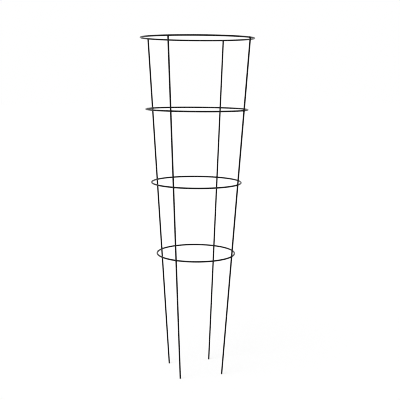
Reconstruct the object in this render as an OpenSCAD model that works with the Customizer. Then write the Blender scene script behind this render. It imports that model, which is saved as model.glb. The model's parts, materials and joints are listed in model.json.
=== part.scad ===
// Tomato cage: four straight wire legs that spread upward, welded to the outside of four level wire rings.
// The origin is on the ground at the middle of the four feet, with Z up and the front towards minus Y.

/* [Cage] */
// Height from the ground to the top of the top ring
cage_height = 1372; // [1250:1:1800]
// Outside diameter of the top ring
top_ring_diameter = 455; // [300:1:700]
// Diameter of the circle that the middles of the feet stand on
foot_circle_diameter = 251; // [150:1:400]
// How far the cut tops of the legs lie below the top of the top ring
leg_drop = 1.5; // [0.5:0.5:2.5]

/* [Ring heights] */
// Height of the middle of the upper ring
upper_ring_height = 1089; // [900:1:1200]
// Height of the middle of the lower ring
lower_ring_height = 795; // [650:1:880]
// Height of the middle of the bottom ring, which is as deep as the legs can be pushed into soil
bottom_ring_height = 501; // [300:1:630]

/* [Wire] */
// Diameter of the leg wire
leg_wire_diameter = 6.35; // [5:0.05:8]
// Diameter of the ring wire
ring_wire_diameter = 6.35; // [5:0.05:8]

/* [Cross welds] */
// How deep a ring and a leg are pressed into each other
weld_setdown = 1.7; // [0.6:0.1:2]
// How far the weld metal spreads past the pressed contact
weld_fillet = 0.6; // [0.4:0.1:1]
// How much the leg swells in radius where it was heated and pressed
weld_swell = 0.25; // [0.1:0.05:0.5]
// Length of leg, above and below a weld, over which the swelling fades out
weld_swell_length = 6; // [5:0.5:12]

/* [Butt welds] */
// Length of wire that the butt weld of a ring takes up
butt_weld_length = 2; // [1:0.5:4]
// How far the butt weld stands proud all round the wire
butt_weld_flash = 0.5; // [0.2:0.1:1]
// Angle round the cage from the rear left leg to the butt welds
butt_weld_angle = 20; // [10:1:80]

/* [Hidden] */
$fn = 72;

coat_color = "#17171a";
weld_color = "#1f1f22";

full_turn = 360;
places = ["front_left", "front_right", "rear_right", "rear_left"];
first_leg_angle = 225;
leg_spacing_angle = full_turn / len(places);
last_leg_angle = first_leg_angle + leg_spacing_angle * (len(places) - 1);

levels = ["top", "upper", "lower", "bottom"];
leg_r = leg_wire_diameter / 2;
ring_r = ring_wire_diameter / 2;
top_ring_height = cage_height - ring_r;
leg_top_height = cage_height - leg_drop;
ring_heights = [top_ring_height, upper_ring_height, lower_ring_height, bottom_ring_height];

// A leg leans outward so far that it passes the middle of the top ring's wire at the pressed distance.
weld_step = leg_r + ring_r - weld_setdown;
foot_r = foot_circle_diameter / 2;
top_ring_r = top_ring_diameter / 2 - ring_r;
spread = top_ring_r - foot_r;
leg_tilt = atan2(spread, top_ring_height) + asin(weld_step / norm([spread, top_ring_height]));

// Radius at the middle of the wire of a ring that lies inside the legs at the given height
function ring_radius(height) = foot_r + height * tan(leg_tilt) - weld_step / cos(leg_tilt);

// Distance along a leg from its foot to the place beside the ring at the given height
function weld_station(height) = height / cos(leg_tilt) - weld_step * tan(leg_tilt);

weld_stations = [for (height = ring_heights) weld_station(height)];

// The fused metal of a weld is a ball round the middle of the contact. It takes the place of both wires as far
// as they run into each other, and shows as a bead in the corners between them.
leg_to_weld = leg_r - weld_setdown / 2;
ring_to_weld = ring_r - weld_setdown / 2;
contact_reach = sqrt((leg_r + weld_swell) ^ 2 - leg_to_weld ^ 2 + ring_r ^ 2 - ring_to_weld ^ 2);
weld_ball_r = contact_reach + weld_fillet;

// A leg blank is longer than the leg, and both of its ends are then cut level.
cut_overrun = leg_wire_diameter;
cut_reach = max(foot_r, ring_radius(cage_height)) + weld_step + cut_overrun;
leg_blank_bottom = -cut_overrun;
leg_blank_top = cage_height / cos(leg_tilt) + weld_swell_length + cut_overrun;

// Half of a leg's lengthwise section, from the foot up, with a swelling at each weld
leg_outline = concat(
    [[0, leg_blank_bottom], [leg_r, leg_blank_bottom]],
    [for (level = [len(levels) - 1 : -1 : 0])
        for (side = [-1, 0, 1])
            [leg_r + weld_swell * (1 - abs(side)), weld_stations[level] + side * weld_swell_length]],
    [[leg_r, leg_blank_top], [0, leg_blank_top]]
);

// Angle round the cage that a butt weld takes up
function butt_weld_span(level) = butt_weld_length / ring_radius(ring_heights[level]) * full_turn / (2 * PI);

function leg_name(place) = str("leg_", places[place]);
function ring_name(level) = str(levels[level], "_ring");
function butt_weld_name(level) = str(levels[level], "_ring_butt_weld");
function weld_name(level, place) = str(levels[level], "_weld_", places[place]);

all_places = [0 : len(places) - 1];
all_levels = [0 : len(levels) - 1];

// Stands a leg's own axis on its foot, leaning outward
module on_leg(place) {
    rotate([0, 0, first_leg_angle + leg_spacing_angle * place])
        translate([foot_r, 0, 0])
            rotate([0, leg_tilt, 0])
                children();
}

// The level layer from the ground up to the given height
module up_to(height) {
    cylinder(h = height, r = cut_reach);
}

// A leg before the rings were pressed into it, with its foot and its top cut level
module leg_wire(place) {
    intersection() {
        on_leg(place) rotate_extrude() polygon(leg_outline);
        up_to(leg_top_height);
    }
}

// A length of round wire bent to a ring's radius
module bent_wire(level, wire_r, from_angle, span_angle) {
    translate([0, 0, ring_heights[level]])
        rotate([0, 0, from_angle])
            rotate_extrude(angle = span_angle)
                translate([ring_radius(ring_heights[level]), 0, 0])
                    circle(r = wire_r);
}

module weld_ball(level, place) {
    on_leg(place)
        translate([-leg_to_weld, 0, weld_stations[level]])
            sphere(r = weld_ball_r);
}

module leg(place) {
    color(coat_color)
        difference() {
            leg_wire(place);
            for (level = all_levels)
                weld_ball(level, place);
        }
}

module ring(level) {
    span = butt_weld_span(level);
    color(coat_color)
        difference() {
            bent_wire(level, ring_r, last_leg_angle + butt_weld_angle + span / 2, full_turn - span);
            for (place = all_places)
                weld_ball(level, place);
        }
}

module butt_weld(level) {
    span = butt_weld_span(level);
    color(weld_color)
        bent_wire(level, ring_r + butt_weld_flash, last_leg_angle + butt_weld_angle - span / 2, span);
}

// The welds of the top ring are dressed flush with the top of the ring.
module cross_weld(level, place) {
    color(weld_color)
        intersection() {
            weld_ball(level, place);
            up_to(cage_height);
        }
}

for (place = all_places)
    leg(place);

for (level = all_levels)
    ring(level);

for (level = all_levels)
    butt_weld(level);

for (level = all_levels)
    for (place = all_places)
        cross_weld(level, place);
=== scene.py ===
import json
import math

import bpy
import numpy as np
from mathutils import Matrix, Vector


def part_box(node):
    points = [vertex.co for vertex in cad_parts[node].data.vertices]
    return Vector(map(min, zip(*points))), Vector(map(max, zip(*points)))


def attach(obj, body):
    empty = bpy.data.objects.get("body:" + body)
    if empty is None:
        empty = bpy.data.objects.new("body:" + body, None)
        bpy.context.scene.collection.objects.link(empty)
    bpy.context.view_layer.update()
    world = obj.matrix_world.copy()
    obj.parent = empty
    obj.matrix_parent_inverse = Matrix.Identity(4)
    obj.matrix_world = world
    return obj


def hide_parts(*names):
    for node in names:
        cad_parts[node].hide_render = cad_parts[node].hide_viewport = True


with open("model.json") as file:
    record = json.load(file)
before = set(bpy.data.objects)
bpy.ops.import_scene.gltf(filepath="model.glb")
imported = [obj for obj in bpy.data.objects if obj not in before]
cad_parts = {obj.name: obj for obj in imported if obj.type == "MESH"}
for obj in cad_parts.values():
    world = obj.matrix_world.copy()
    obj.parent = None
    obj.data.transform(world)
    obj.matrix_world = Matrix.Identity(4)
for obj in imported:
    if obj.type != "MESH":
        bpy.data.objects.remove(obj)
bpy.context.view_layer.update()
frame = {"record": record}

# Lengths are in metres, as in the frame
MM = 0.001
FULL_TURN = 2 * math.pi

# The four legs and the four rings, in the words that the nodes and mounts use
PLACES = ("front_left", "front_right", "rear_right", "rear_left")
LEVELS = ("top", "upper", "lower", "bottom")

# Fineness of the wires
TUBE_SIDES = 40
RING_STEPS = 288
LEG_STEP = 24 * MM

# The coat rounds the cut ends of the legs
END_ROUNDING = 0.7 * MM
END_STEPS = 6

# Each leg swells a little where a ring was pressed and welded to it
SWELL = 0.25 * MM
SWELL_REACH = 6 * MM
SWELL_STEPS = 12

# Cross welds: the metal and the coat run into the corners between the two wires. The skin of coat is
# thickest in the middle and runs out at the bead's reach, where the bead dips under the wires, and its mesh
# ends soon after. At the top ring the bead crowns the ring a little, and caps the end of the leg.
CORNER_BLEND = 0.42 * MM
BEAD_SKIN = 0.32 * MM
BEAD_REACH = 7.2 * MM
BEAD_END = 8.0 * MM
BEAD_CROWN = 0.25 * MM
BEAD_CAP = 0.4 * MM
BEAD_GRID = 0.38 * MM

# Butt welds: a low ridge of metal squeezed out round the wire, with a skin that runs out in the same way
RIDGE_HALF_WIDTH = 0.9 * MM
RIDGE_REACH = 2.6 * MM
RIDGE_END = 3.2 * MM
RIDGE_SKIN = 0.06 * MM
RIDGE_GRID = 0.26 * MM

# Unevenness of the weld metal
LUMP_HEIGHT = 0.3 * MM
LUMP_LENGTH = 2.6 * MM
LUMP_WAVES = 9
LUMP_SEED = 54

# Settling of a weld's mesh on its true surface: the passes, how finely the slope of the distance is taken
# within a grid step, and the least slope that a pass reckons with
SETTLE_PASSES = 3
SLOPE_FINENESS = 20
LEAST_SLOPE = 0.5

# Powder coat: patches of tone, a grain in the gloss, and waves with finer ripples on them
TONE_PATCH = 30 * MM
TONE_DETAIL = 5
GLOSS_GRAIN = 1.2 * MM
GLOSS_DETAIL = 3
PEEL_STRENGTH = 0.6
PEEL_DETAIL = 2
FINE_SHARE = 0.2
FINE_STRENGTH = 0.4
FINE_DETAIL = 1
NOISE_LOW = 0.3
NOISE_HIGH = 0.7

# Camera: it stands to the front left of the cage, a little lower than the top ring, and looks slightly
# down. It is turned a little to the right of the middle of the cage, and rolled a little.
CAMERA_AZIMUTH = math.radians(-16.671)
CAMERA_DISTANCE = 3117.5 * MM
CAMERA_HEIGHT = 1218.7 * MM
CAMERA_YAW = math.radians(0.282)
CAMERA_PITCH = math.radians(9.063)
CAMERA_ROLL = math.radians(-0.469)
CAMERA_LENS_MM = 69.668
CAMERA_SENSOR_MM = 36.0

# Width of the pixel filter, in pixels. It is narrow because the wires are hardly wider than a pixel of the
# photo, which shows them crisp.
PIXEL_FILTER = 0.85

# Light: half of it comes from all round, and half from a broad soft key light at the front left
WORLD_SHARE = 0.5
KEY_SHARE = 0.53
KEY_ELEVATION = math.radians(55)
KEY_AZIMUTH = math.radians(-60)
KEY_SOFTNESS = math.radians(40)

# Floor: a share of the white that it shows is lit, and keeps the shadow
FLOOR_HALF_WIDTH = 30.0
FLOOR_COLOUR = (0.82, 0.82, 0.82, 1)
FLOOR_SHADOW_SHARE = 0.3
WHITE = (1, 1, 1, 1)

mounts = {mount["name"]: mount for mount in frame["record"]["mounts"]}


def box_middle(node):
    low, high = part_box(node)
    return (low + high) / 2


def box_half_height(node):
    low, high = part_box(node)
    return (high.z - low.z) / 2


leg_r = mounts["stake_" + PLACES[0]]["dims"]["r_mm"] * MM
ring_r = box_half_height(LEVELS[0] + "_ring")
cage_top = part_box(LEVELS[0] + "_ring")[1].z
leg_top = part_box("leg_" + PLACES[0])[1].z

# The bead at the top ring caps the leg, whose own mesh ends just under it
wire_top = leg_top - BEAD_CAP


def leg_line(place):
    """Middle of a leg's foot, and the direction up the leg"""
    stake = mounts["stake_" + place]
    return Vector(stake["pos_m"]), -Vector(stake["axis"]).normalized()


def ring_circle(level):
    """Height of a ring, and its radius at the middle of the wire"""
    x, y, z = mounts[level + "_ring_tie"]["pos_m"]
    return z, math.hypot(x, y)


# Pieces

def add_piece(name, node, slot, points, faces, materials):
    """A smooth mesh that rides on the cage and stands for one of its solids"""
    mesh = bpy.data.meshes.new(name)
    mesh.from_pydata(points, [], faces)
    mesh.shade_smooth()
    for material in materials:
        mesh.materials.append(material)
    piece = bpy.data.objects.new(name, mesh)
    bpy.context.scene.collection.objects.link(piece)
    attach(piece, "root")
    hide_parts(node)
    return piece


def skin_over(sections, closed):
    """Points and faces of a tube over round sections that turn left along it"""
    sides = len(sections[0])
    points = [point for section in sections for point in section]
    starts = range(0, len(points), sides)
    spans = list(zip(starts, starts[1:]))
    if closed:
        spans.append((starts[-1], starts[0]))
        faces = []
    else:
        faces = [tuple(reversed(range(sides))), tuple(range(starts[-1], len(points)))]
    for low, high in spans:
        for side in range(sides):
            after = (side + 1) % sides
            faces.append((low + side, low + after, high + after, high + side))
    return points, faces


def ring_round(middle, along_x, along_y):
    """Points of an ellipse with the given half axes"""
    turns = [FULL_TURN * side / TUBE_SIDES for side in range(TUBE_SIDES)]
    return [middle + math.cos(turn) * along_x + math.sin(turn) * along_y for turn in turns]


def swelling(from_weld):
    """How much a leg swells at a distance from the middle of a weld"""
    share = np.minimum(np.abs(from_weld) / SWELL_REACH, 1)
    return SWELL * (1 + np.cos(math.pi * share)) / 2


def drawn_in(from_end):
    """How far the coat's rounding draws the edge in at a distance from a cut end"""
    short = max(END_ROUNDING - from_end, 0)
    return END_ROUNDING - math.sqrt(END_ROUNDING ** 2 - short ** 2)


def leg_heights(weld_heights):
    """Heights of a leg's level sections, which are close together at the welds and at the ends"""
    plain = [step * LEG_STEP for step in range(1, int(wire_top / LEG_STEP))]
    plain = [height for height in plain if min(abs(height - weld) for weld in weld_heights) > SWELL_REACH]
    at_welds = [weld + SWELL_REACH * step / SWELL_STEPS
                for weld in weld_heights for step in range(-SWELL_STEPS, SWELL_STEPS + 1)]
    inner = [height for height in plain + at_welds if END_ROUNDING < height < wire_top - END_ROUNDING]
    rounded = [END_ROUNDING * (1 - math.cos(math.pi / 2 * step / END_STEPS))
               for step in range(END_STEPS + 1)]
    return sorted(rounded + inner + [wire_top - from_end for from_end in rounded])


def add_leg(place, side_coat, end_coat):
    """A leg with swellings at its welds, and with a coat of its own on the cut ends, whose faces are flat"""
    foot, up = leg_line(place)
    outward = Vector((up.x, up.y, 0)).normalized()
    sideways = Vector((-outward.y, outward.x, 0))
    node = "leg_" + place
    welds = [box_middle(f"{level}_weld_{place}").z for level in LEVELS]
    sections = []
    for height in leg_heights(welds):
        radius = leg_r + sum(swelling(height - weld) for weld in welds)
        radius -= drawn_in(min(height, wire_top - height))
        middle = foot + up * (height / up.z)
        sections.append(ring_round(middle, outward * (radius / up.z), sideways * radius))
    materials = [side_coat, end_coat]
    piece = add_piece("coated_" + node, node, "coated_wire", *skin_over(sections, closed=False), materials)
    for polygon in piece.data.polygons:
        polygon.use_smooth = polygon.loop_total < TUBE_SIDES
        if min(polygon.center.z, wire_top - polygon.center.z) < END_ROUNDING:
            polygon.material_index = materials.index(end_coat)


def add_ring(level, materials):
    """The hoop runs on under the ridge of its butt weld, so it has no ends"""
    height, radius = ring_circle(level)
    node = level + "_ring"
    upward = Vector((0, 0, ring_r))
    sections = []
    for step in range(RING_STEPS):
        angle = FULL_TURN * step / RING_STEPS
        outward = Vector((math.cos(angle), math.sin(angle), 0))
        middle = outward * radius + Vector((0, 0, height))
        sections.append(ring_round(middle, upward, outward * ring_r))
    add_piece("coated_" + node, node, "coated_wire", *skin_over(sections, closed=True), materials)


# Weld beads, made as the level surface of a field that is the distance from the metal

def blend(*distances):
    """The nearest distance, with the corners between the shapes filled in"""
    return -CORNER_BLEND * np.log(sum(np.exp(-distance / CORNER_BLEND) for distance in distances))


def leg_distance(points, place, weld_height):
    """Distance from a leg, which swells at the weld and ends a little below the top of the cage"""
    foot, up = leg_line(place)
    from_foot = points - np.array(foot)
    along = from_foot @ np.array(up)
    from_axis = np.linalg.norm(from_foot - along[:, None] * np.array(up), axis=1)
    side = from_axis - leg_r - swelling(points[:, 2] - weld_height)
    return -blend(-side, leg_top - points[:, 2])


def ring_distance(points, level):
    height, radius = ring_circle(level)
    outside = np.hypot(points[:, 0], points[:, 1]) - radius
    return np.hypot(outside, points[:, 2] - height) - ring_r


def uneven(seed):
    """A function of points that gives how far lumps stand out there"""
    random = np.random.default_rng(LUMP_SEED + seed)
    waves = random.normal(size=(LUMP_WAVES, 3))
    waves *= FULL_TURN / LUMP_LENGTH / np.linalg.norm(waves, axis=1)[:, None]
    phases = random.uniform(0, FULL_TURN, LUMP_WAVES)
    return lambda points: LUMP_HEIGHT * np.sin(points @ waves.T + phases).mean(axis=1)


def cross_weld_field(level, place, seed):
    """Leg, ring and ball of weld metal in one, lumpy near the middle and level at the top of the cage"""
    node = f"{level}_weld_{place}"
    centre = np.array(box_middle(node))
    ball_r = box_half_height(node)
    lumps = uneven(seed)

    def field(points):
        away = np.linalg.norm(points - centre, axis=1)
        leg = leg_distance(points, place, centre[2])
        metal = blend(leg, ring_distance(points, level), away - ball_r)
        spread = (away / BEAD_REACH) ** 2
        skin = BEAD_SKIN * (1 - spread) * (1 - spread / 2)
        roughness = lumps(points) * np.exp(-(away / ball_r) ** 2 / 2)
        bead = np.maximum(metal - skin - roughness, away - BEAD_END)
        return -blend(-bead, cage_top + BEAD_CROWN - points[:, 2])

    return field


def butt_weld_field(level, seed):
    """A short stretch of ring with an uneven ridge round it"""
    node = level + "_ring_butt_weld"
    joint = box_middle(node)
    flash = box_half_height(node) - ring_r
    joint_angle = math.atan2(joint.y, joint.x)
    radius = ring_circle(level)[1]
    lumps = uneven(seed)

    def field(points):
        turned = np.arctan2(points[:, 1], points[:, 0]) - joint_angle
        along = radius * (np.mod(turned + math.pi, FULL_TURN) - math.pi)
        ridge = (flash + lumps(points)) * np.exp(-(along / RIDGE_HALF_WIDTH) ** 2)
        skin = RIDGE_SKIN * (1 - (along / RIDGE_REACH) ** 2)
        return np.maximum(ring_distance(points, level) - ridge - skin, np.abs(along) - RIDGE_END)

    return field


def cell_points(values):
    """For each cell that the level surface crosses, the mean of the crossings on its edges"""
    cells = tuple(size - 1 for size in values.shape)
    total = np.zeros(cells + (3,))
    count = np.zeros(cells)
    for axis in range(3):
        sides = [other for other in range(3) if other != axis]
        for shifts in ((0, 0), (0, 1), (1, 0), (1, 1)):
            start = [slice(0, -1)] * 3
            offset = np.zeros(3)
            for side, shift in zip(sides, shifts):
                start[side] = slice(shift, cells[side] + shift)
                offset[side] = shift
            stop = list(start)
            stop[axis] = slice(1, None)
            first = values[tuple(start)]
            second = values[tuple(stop)]
            crossed = (first < 0) != (second < 0)
            place = np.zeros(cells + (3,)) + offset
            place[..., axis] = np.divide(first, first - second, out=np.zeros(cells), where=crossed)
            total += place * crossed[..., None]
            count += crossed
    used = count > 0
    number = np.full(cells, -1)
    number[used] = np.arange(used.sum())
    return np.argwhere(used) + total[used] / count[used][:, None], number


def cell_faces(values, number):
    """One face across each edge of the grid that the level surface crosses"""
    faces = []
    for axis in range(3):
        one = (axis + 1) % 3
        two = (axis + 2) % 3
        inner = [slice(1, -1)] * 3
        inner[axis] = slice(0, -1)
        ahead = list(inner)
        ahead[axis] = slice(1, None)
        inside = values[tuple(inner)] < 0
        crossed = inside != (values[tuple(ahead)] < 0)
        for spot in np.argwhere(crossed):
            corner = spot + 1
            corner[axis] -= 1
            face = []
            for back_one, back_two in ((1, 1), (0, 1), (0, 0), (1, 0)):
                cell = corner.copy()
                cell[one] -= back_one
                cell[two] -= back_two
                face.append(int(number[tuple(cell)]))
            faces.append(face if inside[tuple(spot)] else face[::-1])
    return faces


def settle(points, field, reach):
    """Moves points onto the level surface, along its slope"""
    for _ in range(SETTLE_PASSES):
        here = field(points)
        slope = np.stack([
            (field(points + reach * axis) - field(points - reach * axis)) / (2 * reach)
            for axis in np.eye(3)
        ], axis=1)
        step = here / np.maximum((slope ** 2).sum(axis=1), LEAST_SLOPE ** 2)
        points = points - step[:, None] * slope
    return points


def bead_mesh(field, centre, half_width, grid):
    """Points and faces of the level surface of a field within a box"""
    count = math.ceil(half_width / grid) + 1
    steps = np.arange(-count, count + 1) * grid
    places = np.stack(np.meshgrid(steps, steps, steps, indexing="ij"), axis=-1) + np.array(centre)
    values = field(places.reshape(-1, 3)).reshape(places.shape[:3])
    spots, number = cell_points(values)
    points = settle(np.array(centre) + (spots - count) * grid, field, grid / SLOPE_FINENESS)
    return points.tolist(), cell_faces(values, number)


def add_cross_weld(level, place, seed, materials):
    node = f"{level}_weld_{place}"
    field = cross_weld_field(level, place, seed)
    mesh = bead_mesh(field, box_middle(node), BEAD_END, BEAD_GRID)
    add_piece(f"{level}_weld_bead_{place}", node, "coated_weld", *mesh, materials)


def add_butt_weld(level, seed, materials):
    node = level + "_ring_butt_weld"
    half_width = RIDGE_END + ring_r
    mesh = bead_mesh(butt_weld_field(level, seed), box_middle(node), half_width, RIDGE_GRID)
    add_piece(level + "_ring_butt_ridge", node, "coated_weld", *mesh, materials)


# Materials

def new_material(name):
    material = bpy.data.materials.new(name)
    material.use_nodes = True
    material.node_tree.nodes.clear()
    return material, material.node_tree


def add_noise(tree, where, grain, detail):
    """Noise whose patches are about as large as grain"""
    node = tree.nodes.new("ShaderNodeTexNoise")
    node.inputs["Scale"].default_value = 1 / grain
    node.inputs["Detail"].default_value = detail
    tree.links.new(where, node.inputs["Vector"])
    return node.outputs[0]


def add_range(tree, value, low, high):
    """Spreads the middle of a noise over a range"""
    node = tree.nodes.new("ShaderNodeMapRange")
    node.inputs["From Min"].default_value = NOISE_LOW
    node.inputs["From Max"].default_value = NOISE_HIGH
    node.inputs["To Min"].default_value = low
    node.inputs["To Max"].default_value = high
    tree.links.new(value, node.inputs["Value"])
    return node.outputs["Result"]


def add_tones(tree, value, dark, light):
    """Turns the middle of a noise into a tone between two colours"""
    node = tree.nodes.new("ShaderNodeValToRGB")
    node.color_ramp.elements[0].position = NOISE_LOW
    node.color_ramp.elements[0].color = dark
    node.color_ramp.elements[1].position = NOISE_HIGH
    node.color_ramp.elements[1].color = light
    tree.links.new(value, node.inputs["Fac"])
    return node.outputs["Color"]


def add_bump(tree, height, depth, strength, below=None):
    node = tree.nodes.new("ShaderNodeBump")
    node.inputs["Distance"].default_value = depth
    node.inputs["Strength"].default_value = strength
    tree.links.new(height, node.inputs["Height"])
    if below:
        tree.links.new(below, node.inputs["Normal"])
    return node.outputs["Normal"]


def coat_material(name, tones, roughness, peel, peel_depth, shine):
    """Powder coat: a faint unevenness of tone, an orange peel surface and a fine grain in the gloss"""
    material, tree = new_material(name)
    where = tree.nodes.new("ShaderNodeTexCoord").outputs["Object"]
    shader = tree.nodes.new("ShaderNodeBsdfPrincipled")
    out = tree.nodes.new("ShaderNodeOutputMaterial")
    tree.links.new(shader.outputs["BSDF"], out.inputs["Surface"])
    patches = add_noise(tree, where, TONE_PATCH, TONE_DETAIL)
    grain = add_noise(tree, where, GLOSS_GRAIN, GLOSS_DETAIL)
    tree.links.new(add_tones(tree, patches, *tones), shader.inputs["Base Color"])
    tree.links.new(add_range(tree, grain, *roughness), shader.inputs["Roughness"])
    waves = add_noise(tree, where, peel, PEEL_DETAIL)
    ripples = add_noise(tree, where, peel * FINE_SHARE, FINE_DETAIL)
    waved = add_bump(tree, waves, peel_depth, PEEL_STRENGTH)
    rippled = add_bump(tree, ripples, peel_depth * FINE_SHARE, FINE_STRENGTH, waved)
    tree.links.new(rippled, shader.inputs["Normal"])
    shader.inputs["Specular IOR Level"].default_value = shine
    return material


wire_coat = coat_material(
    "satin_powder_coat",
    tones=((0.0020, 0.0020, 0.0022, 1), (0.0050, 0.0050, 0.0053, 1)),
    roughness=(0.18, 0.34),
    peel=1.6 * MM,
    peel_depth=0.1 * MM,
    shine=0.09,
)
weld_coat = coat_material(
    "coat_over_weld",
    tones=((0.0022, 0.0022, 0.0024, 1), (0.0060, 0.0059, 0.0059, 1)),
    roughness=(0.2, 0.38),
    peel=1.6 * MM,
    peel_depth=0.1 * MM,
    shine=0.09,
)
end_coat = coat_material(
    "thin_coat_on_cut_end",
    tones=((0.0030, 0.0030, 0.0032, 1), (0.0280, 0.0270, 0.0260, 1)),
    roughness=(0.3, 0.48),
    peel=0.6 * MM,
    peel_depth=0.06 * MM,
    shine=0.1,
)

# Each weld has lumps of its own: the seeds count the butt welds first, then the cross welds ring by ring
for place in PLACES:
    add_leg(place, wire_coat, end_coat)
for level_number, level in enumerate(LEVELS):
    add_ring(level, [wire_coat])
    add_butt_weld(level, level_number, [weld_coat])
    for place_number, place in enumerate(PLACES):
        seed = len(LEVELS) + len(PLACES) * level_number + place_number
        add_cross_weld(level, place, seed, [weld_coat])


# Studio

def white_to_view(tree, lit, white):
    """Shows white to the camera, and in gloss and glass, where other light meets the lit surface"""
    path = tree.nodes.new("ShaderNodeLightPath")
    seen = path.outputs["Is Camera Ray"]
    for ray in ("Is Glossy Ray", "Is Transmission Ray"):
        either = tree.nodes.new("ShaderNodeMath")
        either.operation = "MAXIMUM"
        tree.links.new(seen, either.inputs[0])
        tree.links.new(path.outputs[ray], either.inputs[1])
        seen = either.outputs[0]
    mix = tree.nodes.new("ShaderNodeMixShader")
    tree.links.new(seen, mix.inputs["Fac"])
    tree.links.new(lit, mix.inputs[1])
    tree.links.new(white, mix.inputs[2])
    return mix.outputs[0]


def add_world():
    world = bpy.data.worlds.new("studio")
    world.use_nodes = True
    tree = world.node_tree
    tree.nodes.clear()
    lit = tree.nodes.new("ShaderNodeBackground")
    lit.inputs["Color"].default_value = WHITE
    lit.inputs["Strength"].default_value = WORLD_SHARE
    white = tree.nodes.new("ShaderNodeBackground")
    white.inputs["Color"].default_value = WHITE
    out = tree.nodes.new("ShaderNodeOutputWorld")
    shown = white_to_view(tree, lit.outputs[0], white.outputs[0])
    tree.links.new(shown, out.inputs["Surface"])
    bpy.context.scene.world = world


def floor_material():
    material, tree = new_material("pale_floor")
    lit = tree.nodes.new("ShaderNodeBsdfDiffuse")
    lit.inputs["Color"].default_value = FLOOR_COLOUR
    glow = tree.nodes.new("ShaderNodeEmission")
    shaded = tree.nodes.new("ShaderNodeBsdfDiffuse")
    shaded.inputs["Color"].default_value = WHITE
    white = tree.nodes.new("ShaderNodeMixShader")
    white.inputs["Fac"].default_value = FLOOR_SHADOW_SHARE
    tree.links.new(glow.outputs[0], white.inputs[1])
    tree.links.new(shaded.outputs[0], white.inputs[2])
    out = tree.nodes.new("ShaderNodeOutputMaterial")
    shown = white_to_view(tree, lit.outputs[0], white.outputs[0])
    tree.links.new(shown, out.inputs["Surface"])
    return material


def add_floor():
    reach = FLOOR_HALF_WIDTH
    corners = [(-reach, -reach, 0), (reach, -reach, 0), (reach, reach, 0), (-reach, reach, 0)]
    mesh = bpy.data.meshes.new("floor")
    mesh.from_pydata(corners, [], [(0, 1, 2, 3)])
    mesh.materials.append(floor_material())
    floor = bpy.data.objects.new("floor", mesh)
    bpy.context.scene.collection.objects.link(floor)


def add_key_light():
    data = bpy.data.lights.new("key", "SUN")
    data.energy = KEY_SHARE * math.pi / math.sin(KEY_ELEVATION)
    data.angle = KEY_SOFTNESS
    lamp = bpy.data.objects.new("key", data)
    lamp.rotation_euler = (math.pi / 2 - KEY_ELEVATION, 0, KEY_AZIMUTH)
    bpy.context.scene.collection.objects.link(lamp)


def add_camera():
    turn = Matrix.Rotation(CAMERA_AZIMUTH, 3, "Z")
    place = turn @ Vector((0, -CAMERA_DISTANCE, CAMERA_HEIGHT))
    level_ahead = Vector((math.sin(CAMERA_YAW), math.cos(CAMERA_YAW), 0))
    ahead = turn @ (math.cos(CAMERA_PITCH) * level_ahead - math.sin(CAMERA_PITCH) * Vector((0, 0, 1)))
    level = turn @ Vector((math.cos(CAMERA_YAW), -math.sin(CAMERA_YAW), 0))
    down = ahead.cross(level)
    right = math.cos(CAMERA_ROLL) * level + math.sin(CAMERA_ROLL) * down
    up = math.sin(CAMERA_ROLL) * level - math.cos(CAMERA_ROLL) * down
    data = bpy.data.cameras.new("camera")
    data.lens = CAMERA_LENS_MM
    data.sensor_width = CAMERA_SENSOR_MM
    camera = bpy.data.objects.new("camera", data)
    axes = Matrix((right, up, -ahead)).transposed()
    camera.matrix_world = Matrix.Translation(place) @ axes.to_4x4()
    bpy.context.scene.collection.objects.link(camera)
    bpy.context.scene.camera = camera


add_world()
add_floor()
add_key_light()
add_camera()
bpy.context.scene.view_settings.view_transform = "Standard"
bpy.context.scene.cycles.filter_width = PIXEL_FILTER
